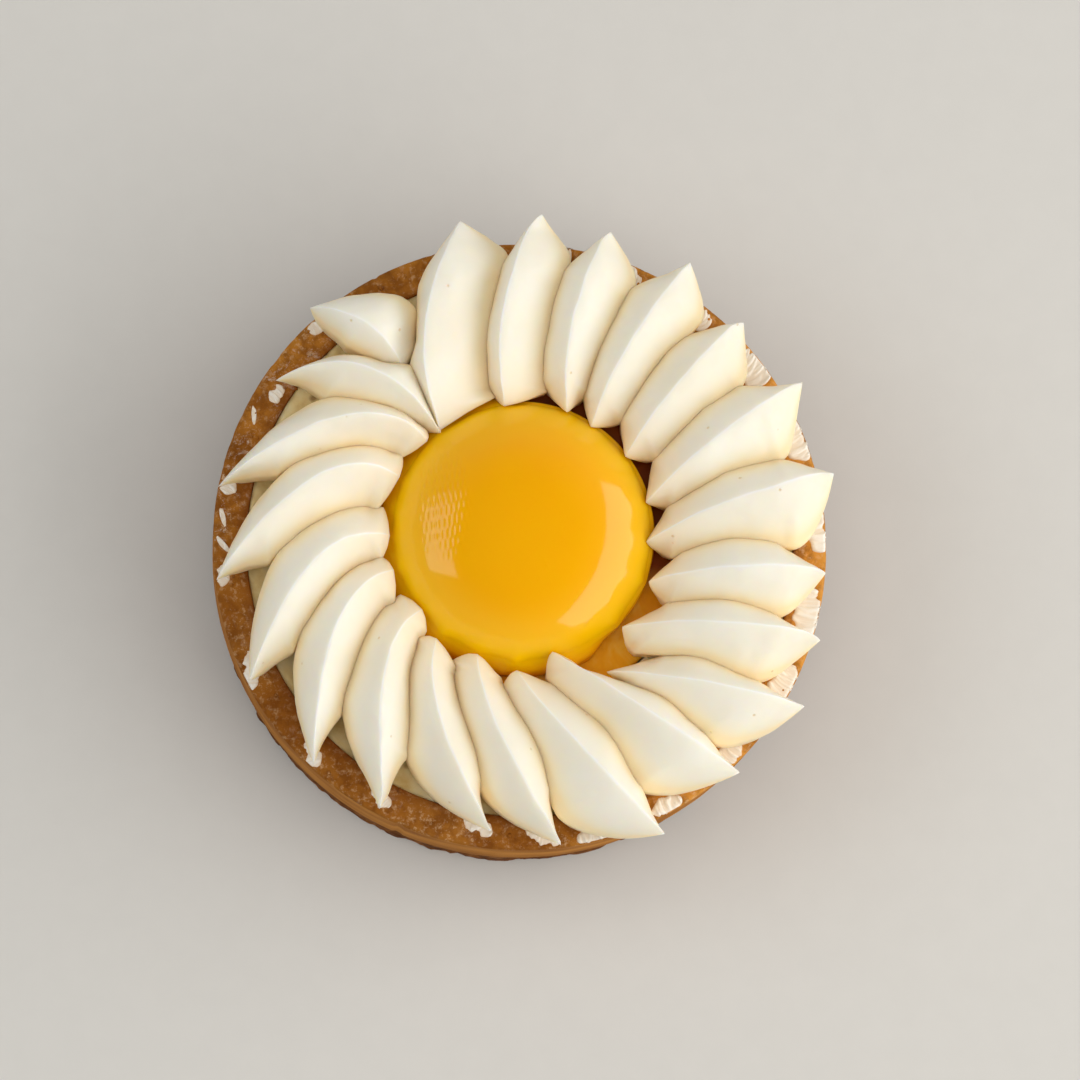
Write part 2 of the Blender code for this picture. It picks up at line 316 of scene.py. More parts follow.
def crustSurface(place):
    s = crustSet
    radius = math.hypot(place.x, place.y)
    if radius < 1 * mm:
        return place
    azimuth = math.degrees(math.atan2(place.y, place.x))
    out = Vector((place.x, place.y, 0)) / radius
    outerWall = smoothstep(s["radius"] - 3.2 * mm, s["radius"] - 0.6 * mm, radius)
    foot = 1 - smoothstep(s["bandFoot"] - 1.6 * mm, s["bandFoot"] + 0.1 * mm, place.z)
    lift = smoothstep(0.1 * mm, 1.2 * mm, place.z)
    # bumps of the toasted foot, never out past the band
    bumps = grain(place, s["cragPitch"], 1, 2) * 0.75 + grain(place, 0.8 * mm, 2, 2) * 0.3
    pit = max(0.0, grain(place, 3.4 * mm, 5, 2) - 0.35) * 1.3
    shift = s["cragDepth"] * (min(0.35, bumps) - 0.42 - pit) * foot * mix(0.45, 1, lift)
    # the band: faint long ripples and a fine grain
    shift += 0.05 * mm * grain(place, 5 * mm, 3, 2) * (1 - foot) + 0.02 * mm * grain(place, 0.7 * mm, 4, 2)
    seam = math.exp(-(angleGap(azimuth, s["seam"]) / s["seamSpread"]) ** 2)
    shift -= s["seamDepth"] * seam * (1 - foot) * lift
    # flat stretch at the back
    shift -= s["flat"] * math.exp(-(angleGap(azimuth, s["flatAzimuth"]) / s["flatSpread"]) ** 4)
    # chips along the rim's outer edge, most of them at the back left
    atEdge = smoothstep(s["height"] - 1.5 * mm, s["height"] - 0.1 * mm, place.z)
    chippy = mix(0.35, 1.0, math.exp(-(angleGap(azimuth, s["chipAzimuth"]) / s["chipSpread"]) ** 2))
    chip = max(0.0, grain((place.x, place.y, 0), 1.6 * mm, 6, 3) - mix(0.4, 0.12, chippy))
    shift -= s["chipDepth"] * chip * atEdge * chippy
    place = place + out * min(shift, 0.0) * outerWall
    # planed rim: fine grain, shallow tool marks, a torn inner edge
    onRim = smoothstep(s["height"] - 0.5 * mm, s["height"] - 0.1 * mm, place.z)
    if onRim > 0:
        rimShare = (radius - (s["radius"] - s["wall"])) / s["wall"]
        wear = 0.05 * grain(place, 0.55 * mm, 7, 3) + 0.07 * grain(place, 4 * mm, 8, 2)
        torn = max(0.0, grain(place, 1.1 * mm, 9, 3)) * math.exp(-(rimShare / 0.09) ** 2)
        place.z += (min(0.0, wear) * mm - s["tornDepth"] * torn - chip * 0.4 * mm * (rimShare > 0.6)) * onRim
    return place


def crustMaterial():
    material, nodes, links, shader, place = newMaterial("toastedShortcrust")
    radius, height, azimuth = polarNodes(nodes, links, place)
    blotch = noiseNode(nodes, links, place, 130, 4, 0.6)
    fine = noiseNode(nodes, links, place, 1500, 4, 0.7)
    dust = noiseNode(nodes, links, place, 1150, 5, 0.75)
    # rim: tan, browner in blotches, darker at its inner edge
    rim = rampNode(nodes, links, blotch, [
        (0.30, (0.210, 0.064, 0.004)), (0.46, (0.350, 0.120, 0.010)),
        (0.58, (0.450, 0.175, 0.020)), (0.75, (0.570, 0.250, 0.045))])
    # painted light at the right of the rim, painted shade at its lower left
    split = nodes.new("ShaderNodeSeparateXYZ")
    links.new(place, split.inputs["Vector"])
    paintedLightRight = mapNode(nodes, links, split.outputs["X"], 0.004, 0.036, 0.12, 0.7)
    rim = mixColours(nodes, links, paintedLightRight, rim, (0.80, 0.36, 0.060))
    # painted shade: browner towards the lower left
    paintedShadeLowerLeft = mapNode(nodes, links, mathNode(nodes, links, "ADD", split.outputs["X"], split.outputs["Y"]),
                      -0.018, -0.050, 0.0, 0.55)
    rim = mixColours(nodes, links, paintedShadeLowerLeft, rim, (0.20, 0.055, 0.003))
    patches = mapNode(nodes, links, noiseNode(nodes, links, place, 430, 4, 0.65), 0.40, 0.56, 0.55, 0.0)
    rim = mixColours(nodes, links, patches, rim, (0.15, 0.038, 0.002))
    # fine white dust
    pale = mathNode(nodes, links, "MULTIPLY", mapNode(nodes, links, dust, 0.52, 0.64),
                    mapNode(nodes, links, blotch, 0.35, 0.65, 0.3, 0.95))
    pale = mathNode(nodes, links, "MULTIPLY", pale, 0.65)
    rim = mixColours(nodes, links, pale, rim, (0.72, 0.48, 0.26))
    # dried white streaks, most of them at the left
    streaks = noiseNode(nodes, links, place, 520, 6, 0.78, 0.5)
    leftSide = mapNode(nodes, links, azimuth, 118, 140, 0.0, 1.0)
    streaks = mathNode(nodes, links, "MULTIPLY", mapNode(nodes, links, streaks, 0.56, 0.67, 0.0, 0.6),
                       mathNode(nodes, links, "MAXIMUM", leftSide, 0.14))
    rim = mixColours(nodes, links, streaks, rim, (0.86, 0.76, 0.66))
    inward = mapNode(nodes, links, radius, 0.0372, 0.0354, 0.0, 0.65)
    rim = mixColours(nodes, links, inward, rim, (0.20, 0.060, 0.010))
    # wall: golden band over a dark foot, toasted and deepened with painted shade near the floor
    band = rampNode(nodes, links, noiseNode(nodes, links, place, 95, 3, 0.5, 0.0, (1, 1, 2.4)), [
        (0.3, (0.30, 0.104, 0.010)), (0.5, (0.42, 0.162, 0.020)), (0.7, (0.54, 0.232, 0.036))])
    # toasted colour with painted shade: darker lower down the wall
    toastAndPaintedShade = rampNode(nodes, links, noiseNode(nodes, links, place, 420, 4, 0.65), [
        (0.32, (0.075, 0.022, 0.004)), (0.5, (0.170, 0.055, 0.010)), (0.68, (0.30, 0.120, 0.030))])
    uneven = mathNode(nodes, links, "SUBTRACT", noiseNode(nodes, links, place, 260, 3), 0.5)
    edge = mathNode(nodes, links, "ADD", height, mathNode(nodes, links, "MULTIPLY", uneven, 0.003))
    wall = mixColours(nodes, links, mapNode(nodes, links, edge, 0.0088, 0.0104), toastAndPaintedShade, band)
    onTop = mapNode(nodes, links, height, 0.0192, 0.0197)
    colour = mixColours(nodes, links, onTop, wall, rim)
    speck = mapNode(nodes, links, fine, 0.62, 0.74, 0.0, 0.35)
    colour = mixColours(nodes, links, speck, colour, (0.16, 0.05, 0.010))
    links.new(colour, shader.inputs["Base Color"])
    shader.inputs["Roughness"].default_value = 0.82
    shader.inputs["Specular IOR Level"].default_value = 0.14
    crumb = mathNode(nodes, links, "ADD", mathNode(nodes, links, "MULTIPLY", fine, 0.6), dust)
    bumpNode(nodes, links, shader, crumb, 0.5, 0.12 * mm)
    return material


crust = turnProfile("baked_crust", crustProfile(), crustSet["steps"])
moveVertices(crust, crustSurface)
finishPiece(crust, crustMaterial(), "crust")
print("crust done:", len(crust.data.polygons), "faces")


# filling: pale cream with an uneven top, lipped up a little against the crust

fillingSet = {
    "radius": 35.55 * mm,
    "top": 19.0 * mm,
    "bottom": 3.3 * mm,
    "recess": 22.55 * mm,
    "recessDepth": 2.3 * mm,
    "offset": 1.2 * mm,
    "highest": 19.9 * mm,
    "steps": 300,
}


def fillingProfile():
    s = fillingSet
    floor = s["top"] - s["recessDepth"]
    points = [(0, floor), (s["recess"] * 0.5, floor), (s["recess"], floor)]
    points += [(s["recess"], mix(floor, s["top"], 0.5)), (s["recess"] + 0.1 * mm, s["top"] - 0.08 * mm)]
    points += [(mix(s["recess"] + 0.3 * mm, s["radius"] - 0.1 * mm, k / 30), s["top"]) for k in range(31)]
    points += [(s["radius"], s["top"] - 0.1 * mm)]
    points += [(s["radius"], mix(s["top"] - 0.5 * mm, s["bottom"], k / 8)) for k in range(9)]
    points += [(s["radius"] * 0.5, s["bottom"]), (0, s["bottom"])]
    return points


def fillingSurface(place):
    s = fillingSet
    radius = math.hypot(place.x, place.y)
    if radius < s["recess"] + 0.5 * mm:
        place.y += s["offset"] * (radius > 0)
    elif place.z > s["top"] - 2 * mm:
        place.y += s["offset"] * (1 - smoothstep(s["recess"], s["radius"] - 2 * mm, radius))
    if place.z > s["top"] - 0.2 * mm and radius > s["recess"] + 0.2 * mm:
        lip = smoothstep(s["radius"] - 2.2 * mm, s["radius"] - 0.2 * mm, radius)
        rough = 0.22 * grain(place, 3.2 * mm, 11, 3) + 0.10 * grain(place, 0.8 * mm, 12, 3)
        place.z += (rough - 0.05 + lip * (0.35 + 0.5 * max(0.0, grain(place, 1.3 * mm, 13, 3)))) * mm
        place.z = min(place.z, s["highest"])
    return place


def fillingMaterial():
    material, nodes, links, shader, place = newMaterial("paleFilling")
    soft = noiseNode(nodes, links, place, 300, 4, 0.6)
    colour = rampNode(nodes, links, soft, [
        (0.3, (0.66, 0.48, 0.18)), (0.5, (0.80, 0.68, 0.36)), (0.7, (0.86, 0.78, 0.52))])
    # painted shade: dark spots where small holes would be shaded
    paintedHoleShade = mapNode(nodes, links, voronoiNode(nodes, links, place, 330), 0.10, 0.22, 0.75, 0.0)
    colour = mixColours(nodes, links, paintedHoleShade, colour, (0.22, 0.10, 0.015))
    links.new(colour, shader.inputs["Base Color"])
    shader.inputs["Roughness"].default_value = 0.5
    shader.inputs["Subsurface Weight"].default_value = 0.25
    shader.inputs["Subsurface Scale"].default_value = 1.5 * mm
    shader.inputs["Subsurface Radius"].default_value = (1.0, 0.7, 0.3)
    bumpNode(nodes, links, shader, noiseNode(nodes, links, place, 900, 4, 0.65), 0.35, 0.15 * mm)
    return material


filling = turnProfile("cream_filling", fillingProfile(), fillingSet["steps"])
moveVertices(filling, fillingSurface)
finishPiece(filling, fillingMaterial(), "filling", 50)
print("filling done")


# jelly disc under the dome

discSet = {"radius": 22.4 * mm, "top": 19.0 * mm, "depth": 2.0 * mm, "offset": 1.2 * mm, "steps": 220}


def discProfile():
    s = discSet
    points = [(0, s["top"])]
    points += [((s["radius"] - 0.6 * mm) * k / 30, s["top"]) for k in range(1, 31)]
    points += [(s["radius"] - 0.35 * mm, s["top"] - 0.06 * mm)]
    points += [(s["radius"] - 0.1 * mm, s["top"] - 0.25 * mm)]
    points += [(s["radius"], s["top"] - 0.6 * mm), (s["radius"], s["top"] - s["depth"])]
    points += [(s["radius"] * 0.5, s["top"] - s["depth"]), (0, s["top"] - s["depth"])]
    return points


def discSurface(place):
    s = discSet
    if place.z > s["top"] - 0.3 * mm:
        place.z += 0.06 * mm * grain(place, 4.0 * mm, 21, 2)
    place.y += s["offset"]
    return place


def jellyMaterial():
    material, nodes, links, shader, place = newMaterial("amberJelly")
    cloud = noiseNode(nodes, links, place, 160, 4, 0.6, 0.6)
    paintedShadeBrown = rampNode(nodes, links, cloud, [
        (0.30, (0.20, 0.034, 0.001)), (0.5, (0.28, 0.055, 0.001)), (0.72, (0.36, 0.085, 0.003))])
    amber = rampNode(nodes, links, cloud, [
        (0.30, (0.80, 0.300, 0.003)), (0.5, (0.92, 0.440, 0.008)), (0.72, (0.95, 0.62, 0.10))])
    # amber at the lower right and bottom; elsewhere deep brown, painted shade in the gaps under the petals
    azimuth = polarNodes(nodes, links, place)[2]
    litShare = mapNode(nodes, links, azimuth, -8, -22)
    colour = mixColours(nodes, links, litShare, paintedShadeBrown, amber)
    links.new(colour, shader.inputs["Base Color"])
    shader.inputs["Roughness"].default_value = 0.3
    shader.inputs["Specular IOR Level"].default_value = 0.2
    shader.inputs["Subsurface Weight"].default_value = 0.35
    shader.inputs["Subsurface Scale"].default_value = 2.5 * mm
    shader.inputs["Subsurface Radius"].default_value = (1.0, 0.45, 0.08)
    shader.inputs["Coat Weight"].default_value = 0.1
    shader.inputs["Coat Roughness"].default_value = 0.08
    bumpNode(nodes, links, shader, noiseNode(nodes, links, place, 380, 3, 0.5, 0.4), 0.15, 0.2 * mm)
    return material


disc = turnProfile("jelly_layer", discProfile(), discSet["steps"])
moveVertices(disc, discSurface)
finishPiece(disc, jellyMaterial(), "jelly_disc")
print("jelly disc done")


# ring of petals: the first at the back left, the rest clockwise. Lengths in mm, angles in degrees

petalSet = {
    "count": 21,
    "firstTip": 100.8,
    "firstSpacing": 14.0,
    "spacingGrowth": 0.25,
    "tipRadius": 40.4,
    "innerRadius": 17.2,
    "tipHeight": 25.4,
    "innerHeight": 24.3,
    "crestArch": 4.6,
    "tipDrift": (0.4, 1, 2.5, 1.1, 2.5, 1.9, -0.4, -3.2, 0.3, 3.3, 3,
                 2.3, 0.5, 4.5, 0.8, 2.9, 1.6, -1.1, -1, -4.2, -0.4),
    "tipReach": (2, 2.3, 1.7, 2.1, 0.1, 0.7, 0.9, -0.9, 0, 1.9, 0.8,
                 2, -1, -2.1, -1.6, -0.7, -0.5, -0.8, -1.1, -2.5, 0.3),
    "lean": (-26, -10, 4, 0.1, 6.5, 13.2, 13.6, 13, 23.7, 27, 28,
             28, 28, 34, 27, 33, 29, 34, 35, 20, 7.7),
    "innerReach": {0: 0.5, 1: 0.3, 2: 0.4, 5: -0.5, 6: -1.2, 9: 3.2, 10: -2,
                   12: -1, 14: -1.2, 17: 0.6, 18: 0.5, 19: 0.2, 20: 9.8},
    # how far the crests bow clockwise, and where along them
    "firstBows": (-3.4, -2.3, -1.9, -1.2), "earlyBow": -0.7, "lateBow": 4.6, "lastBow": 1.6,
    "bowPlace": {19: 0.42, 20: 0.55},
    # where the crease to the next petal runs between two crests
    "firstPush": 0.38, "pushFade": 1.6, "lateShare": 0.44,
    "earlyOuterPush": 0.12, "outerPush": 0.31, "lateOuterPush": 0.16,
    "lastShare": 0.84, "closedShare": 0.68,
    # section: how deep a crease goes, how far round the flank and the foot reach
    "valleyShare": 0.60, "crestSharpness": 0.62, "crestRound": 0.16, "flankSwell": 0.04,
    "flankEnd": 0.68, "footEnd": 0.86, "footTuck": 0.94,
    "fillingLevel": 18.8, "rimLevel": 19.95, "rimStart": 33.4, "rimFull": 35.5,
    # how the flanks run out at both ends
    "clockwiseTaper": 6.2, "lateClockwiseTaper": 9.0, "anticlockwiseTaper": 6.6,
    "outerLift": 3.0, "innerTaper": 3.6, "bluntTaper": 1.3, "innerLift": 2.6,
    "tipRound": 0.30,
    "around": 64,      # corners of a section
    "along": 72,       # sections of a petal
    "top": 29.49,      # no petal rises past this
    "wobble": 0.16,
    # tips drawn out over this share of the petal: outward, clockwise and upward
    "drawnShare": 0.10,
    "drawnTips": {1: (-0.1, 0.5, 0.5), 2: (-0.2, 0.4, 0.5), 4: (-0.1, 0.5, 0.5), 5: (0.4, 0.3, 0.6),
                  6: (-0.1, 0.3, 0.7), 7: (-0.1, 0.4, 0.6), 8: (0.1, 0.5, 0.3), 15: (0.2, -0.2, -0.6),
                  14: (0.6, 0.2, -1.0), 12: (0.4, -0.1, -0.6), 17: (0.2, -0.3, -0.8), 18: (0.4, -0.6, -0.8)},
    "overlap": 0.7,    # mm that neighbours press into each other
}


def lateness(index):
    return smoothstep(11, 16, index)  # the petals piped last are slimmer towards the rim


def tipAzimuth(index):
    s = petalSet
    spread = s["firstSpacing"] * index + s["spacingGrowth"] * index * (index - 1) / 2
    return s["firstTip"] - spread + s["tipDrift"][index]


def crestCurve(index):
    s = petalSet
    tip = s["tipRadius"] + s["tipReach"][index]
    inner = s["innerRadius"] + s["innerReach"].get(index, 0)
    bow = mix(s["earlyBow"], s["lateBow"], smoothstep(7.5, 17, index))
    if index < len(s["firstBows"]):
        bow = s["firstBows"][index]
    if index == s["count"] - 1:
        bow = s["lastBow"]
    start = math.radians(tipAzimuth(index))
    end = math.radians(tipAzimuth(index) - s["lean"][index])
    outerEnd = np.array((math.cos(start), math.sin(start))) * tip
    innerEnd = np.array((math.cos(end), math.sin(end))) * inner
    chord = innerEnd - outerEnd
    clockwise = np.array((-chord[1], chord[0])) / np.linalg.norm(chord)
    control = outerEnd + chord * s["bowPlace"].get(index, 0.6 + 0.01 * index) + clockwise * 2 * bow
    t = np.linspace(-0.2, 1.2, 57)[:, None]
    points = (1 - t) ** 2 * outerEnd + 2 * t * (1 - t) * control + t ** 2 * innerEnd
    radii = np.minimum.accumulate(np.hypot(points[:, 0], points[:, 1]))
    azimuths = np.degrees(np.arctan2(points[:, 1], points[:, 0]))
    azimuths = tipAzimuth(index) + (azimuths - tipAzimuth(index) + 180) % 360 - 180
    return {"tip": tip, "inner": inner, "radii": radii[::-1], "azimuths": azimuths[::-1]}


crests = [crestCurve(index) for index in range(petalSet["count"])]


def crestAzimuth(index, radius):
    turn, index = divmod(index, petalSet["count"])
    crest = crests[index]
    return float(np.interp(radius, crest["radii"], crest["azimuths"])) - 360 * turn


def creaseAzimuth(index, radius):
    # between a petal and the next clockwise
    s = petalSet
    last = s["count"] - 1
    push = mix(s["earlyOuterPush"], s["outerPush"], smoothstep(3.5, 8, index))
    push = mix(push, s["lateOuterPush"], lateness(index)) * smoothstep(25, 36.5, radius)
    firstPush = s["firstPush"] * math.exp(-index / s["pushFade"])
    share = mix(0.5, s["lateShare"], lateness(index)) + max(firstPush, push)
    here = crestAzimuth(index, radius)
    after = crestAzimuth(index + 1, radius)
    # the last petal is short: inside it, its neighbours meet
    end = crests[last]["inner"]
    closed = 1 - smoothstep(end - 1, end + 2.5, radius)
    if index == last:
        here = mix(here, crestAzimuth(index - 1, radius), closed)
        share = mix(s["lastShare"], s["closedShare"], closed)
    if index == last - 1:
        after = mix(after, crestAzimuth(index + 2, radius), closed)
        share = mix(share, s["closedShare"], closed)
    return mix(here, after, share)


def endShare(index, radius, isClockwise):
    # how much of its width a flank keeps at both ends of the petal
    s = petalSet
    tip, inner = crests[index]["tip"], crests[index]["inner"]
    length, power = s["anticlockwiseTaper"], 1.0
    if isClockwise:
        length = mix(s["clockwiseTaper"], s["lateClockwiseTaper"], lateness(index))
        power = mix(1.8, 1.25, lateness(index))
    outer = 1 - min(1.0, max(0.0, (radius - (tip - length)) / length)) ** power
    blunt = smoothstep(8, 14, index)
    if index == s["count"] - 2:
        blunt = 0.3
    if isClockwise:
        blunt = max(blunt, 1 - 0.5 * index)
    innerLength = mix(s["innerTaper"], s["bluntTaper"], blunt)
    reach = min(1.0, max(0.0, (radius - inner) / innerLength))
    return outer * reach ** mix(0.75, 0.5, blunt)


def petalPoint(index, along, turn):
    # turn 0 is the crest, 0 to 0.5 goes down the clockwise side and 0.5 to 1 comes up the other
    s = petalSet
    tip, inner = crests[index]["tip"], crests[index]["inner"]
    radius = mix(tip, inner, along)
    crest = crestAzimuth(index, radius)
    arch = (4 * along * (1 - along)) ** 0.75
    crestHeight = mix(s["tipHeight"], s["innerHeight"], along) + s["crestArch"] * arch
    level = mix(s["fillingLevel"], s["rimLevel"], smoothstep(s["rimStart"], s["rimFull"], radius))
    level = mix(level, s["tipHeight"], max(0.0, (radius - (tip - s["outerLift"])) / s["outerLift"]) ** 1.5)
    level = mix(level, s["innerHeight"], max(0.0, 1 - (radius - inner) / s["innerLift"]) ** 0.9)
    valleyHeight = mix(level, crestHeight, s["valleyShare"] * math.sqrt(arch))
    isClockwise = turn <= 0.5
    valley = creaseAzimuth(index if isClockwise else (index - 1) % s["count"], radius)
    if index == 0 and not isClockwise:
        valley += 360
    side = -1 if isClockwise else 1
    reach = math.degrees(s["overlap"] / 2 / radius)
    width = max(0.0, side * (valley - crest) + reach) * endShare(index, radius, isClockwise)
    width = max(width, math.degrees(s["tipRound"] * math.sqrt(min(1.0, along / 0.02)) / radius))
    share = 2 * min(turn, 1 - turn)  # 0 crest, 1 middle of the underside
    if share <= s["flankEnd"]:
        down = (share / s["flankEnd"]) ** 1.25
        soft = math.sqrt(down * down + s["crestRound"] ** 2 * 0.06) - s["crestRound"] * 0.245
        drop = s["crestSharpness"] * soft + (1 - s["crestSharpness"]) * down * down
        drop -= s["flankSwell"] * math.sin(math.pi * down)
        return radius, crest + side * width * down, mix(crestHeight, valleyHeight, max(0.0, drop))
    if share <= s["footEnd"]:
        under = (share - s["flankEnd"]) / (s["footEnd"] - s["flankEnd"])
        return radius, crest + side * width * mix(1, s["footTuck"], under), mix(valleyHeight, level, under)
    under = (share - s["footEnd"]) / (1 - s["footEnd"])
    return radius, crest + side * width * s["footTuck"] * (1 - under), level


# where the jelly climbs the petals' inner ends, all but the short last one's
petalEnds = []
for index, crest in enumerate(crests[:-1]):
    endAzimuth = math.radians(crestAzimuth(index, crest["inner"]))
    petalEnds.append(Vector((math.cos(endAzimuth), math.sin(endAzimuth), 0)) * (crest["inner"] + 0.5) * mm)


# mango dome: glossy, drawn out a little where the petals touch it, its glaze run out round the foot

domeSet = {
    "radius": 17.2 * mm,
    "height": 10.2 * mm,
    "base": 19.3 * mm,
    "widest": 0.06,
    "offset": 1.2 * mm,
    "steps": 256,
    "shoulder": 0.55,   # 0 is a ball, 1 is fuller
    "sink": 0.35 * mm,  # the foot goes this far into the layer below
    # the glaze's own run: out from the dome and up from its foot, in mm
    "skirt": ((0.02, 3.1), (0.18, 2.85), (0.42, 2.62), (0.72, 2.38), (1.02, 2.05), (1.28, 1.6),
              (1.44, 1.1), (1.52, 0.5), (1.55, 0)),
    "dryFrom": -50, "dryTo": 90, "dryFade": 14, "dryShare": 0.8,  # azimuths between which it hardly runs out
    # climb to the petals' ends
    "climb": 0.24, "climbTurn": 4.6, "climbReach": 19.6 * mm,
    "climbHeight": 22.4 * mm, "climbSpread": 1.6 * mm, "climbTo": 23.6 * mm,
    # pinholes: azimuth, share of the radius, width in mm, depth in mm
    "pinholes": ((58, 0.52, 0.42, 0.10), (20, 0.06, 0.26, 0.09), (-62, 0.33, 0.26, 0.08),
                 (-75, 0.42, 0.30, 0.09), (-128, 0.06, 0.18, 0.06), (112, 0.44, 0.18, 0.05),
                 (-25, 0.74, 0.2, 0.06), (-160, 0.3, 0.16, 0.05)),
}


def domeProfile():
    s = domeSet
    widest = s["widest"] * s["height"]
    points = [(0, s["base"] + s["height"])]
    for k in range(1, 61):
        angle = math.radians(90 - 90 * k / 60)
        share = math.cos(angle)
        rise = mix(math.sin(angle), (1 - share ** 2.9) ** (1 / 2.3), s["shoulder"])
        points.append((s["radius"] * share, s["base"] + widest + (s["height"] - widest) * rise))
    # the glaze runs out round the foot
    foot = s["base"] - s["sink"]
    top = foot + s["skirt"][0][1] * mm
    points = [point for point in points if point[1] > top + 0.1 * mm]
    points += [(s["radius"] + out * mm, foot + up * mm) for out, up in s["skirt"]]
    points += [(s["radius"] * 0.5, foot), (0, foot)]
    return points


def domeSurface(place):
    s = domeSet
    radius = math.hypot(place.x, place.y)
    azimuth = math.degrees(math.atan2(place.y, place.x))
    if radius > s["radius"]:
        dry = smoothstep(s["dryFrom"] - s["dryFade"], s["dryFrom"], azimuth)
        dry *= 1 - smoothstep(s["dryTo"], s["dryTo"] + s["dryFade"], azimuth)
        run = (1 - s["dryShare"] * dry) * (1 + 0.25 * grain(place, 3.2 * mm, 33))
        out = s["radius"] + (radius - s["radius"]) * run
        place.x *= out / radius
        place.y *= out / radius
    for end in petalEnds:
        away = Vector((end[0], end[1] - s["offset"], 0))
        turn = abs(angleGap(azimuth, math.degrees(math.atan2(away.y, away.x))))
        if turn < 14 and place.z > s["base"] and away.length < s["climbReach"]:
            pull = s["climb"] * math.exp(-(turn / s["climbTurn"]) ** 2)
            pull *= math.exp(-((place.z - s["climbHeight"]) / s["climbSpread"]) ** 2)
            place = place.lerp(Vector((away.x, away.y, s["climbTo"])), pull)
    if place.z > s["base"] + 1 * mm:
        for holeAzimuth, share, width, depth in s["pinholes"]:
            centre = Vector((math.cos(math.radians(holeAzimuth)), math.sin(math.radians(holeAzimuth)), 0))
            centre *= share * s["radius"]
            away = math.hypot(place.x - centre.x, place.y - centre.y)
            place.z -= depth * mm * math.exp(-(away / (0.5 * width * mm)) ** 2)
        place.z += 0.035 * mm * grain(place, 9 * mm, 31, 2) * smoothstep(0, 8 * mm, radius)
    place.y += s["offset"]
    return place


def domeMaterial():
    material, nodes, links, shader, place = newMaterial("mangoJelly")
    height = polarNodes(nodes, links, place)[1]
    soft = noiseNode(nodes, links, place, 60, 2, 0.5)
    centre = rampNode(nodes, links, soft, [
        (0.3, (0.975, 0.430, 0.000)), (0.7, (0.990, 0.465, 0.000))])
    # painted light: brighter yellow lower down the dome's sides
    low = mapNode(nodes, links, height, 0.0280, 0.0235)
    colour = mixColours(nodes, links, low, centre, (1.0, 0.590, 0.000))
    foot = mapNode(nodes, links, height, 0.0224, 0.0200, 0.0, 0.9)
    colour = mixColours(nodes, links, foot, colour, (0.90, 0.330, 0.002))
    links.new(colour, shader.inputs["Base Color"])
    shader.inputs["Roughness"].default_value = 0.09
    shader.inputs["Specular IOR Level"].default_value = 0.42
    shader.inputs["Subsurface Weight"].default_value = 0.3
    shader.inputs["Subsurface Scale"].default_value = 2.0 * mm
    shader.inputs["Subsurface Radius"].default_value = (1.0, 0.5, 0.05)
    # a patch at the left dried into fine crossing ripples
    mapping = nodes.new("ShaderNodeMapping")
    mapping.inputs["Location"].default_value = (0.0105, -0.0020, 0)
    mapping.inputs["Scale"].default_value = (1.0, 0.42, 0.0)
    links.new(place, mapping.inputs["Vector"])
    away = nodes.new("ShaderNodeVectorMath")
    away.operation = "LENGTH"
    links.new(mapping.outputs["Vector"], away.inputs[0])
    patch = mapNode(nodes, links, away.outputs["Value"], 0.0024, 0.0038, 1.0, 0.0)
    ripples = []
    for turn, scale in ((9, 520), (-16, 470)):
        turned = nodes.new("ShaderNodeMapping")
        turned.inputs["Rotation"].default_value = (0, 0, math.radians(turn))
        links.new(place, turned.inputs["Vector"])
        wave = nodes.new("ShaderNodeTexWave")
        wave.inputs["Scale"].default_value = scale
        wave.inputs["Distortion"].default_value = 0.8
        wave.inputs["Detail"].default_value = 1.0
        wave.inputs["Detail Scale"].default_value = 0.6
        links.new(turned.outputs["Vector"], wave.inputs["Vector"])
        ripples.append(wave.outputs["Fac"])
    relief = mathNode(nodes, links, "MULTIPLY", mathNode(nodes, links, "ADD", *ripples), patch)
    smooth = bumpNode(nodes, links, shader, relief, 0.8, 0.028 * mm)
    bumpNode(nodes, links, shader, noiseNode(nodes, links, place, 700, 2, 0.5), 0.02, 0.1 * mm, smooth)
    return material


dome = turnProfile("mango_dome", domeProfile(), domeSet["steps"])
moveVertices(dome, domeSurface)
finishPiece(dome, domeMaterial(), "dome")
print("dome done:", len(dome.data.polygons), "faces")


# cream petals

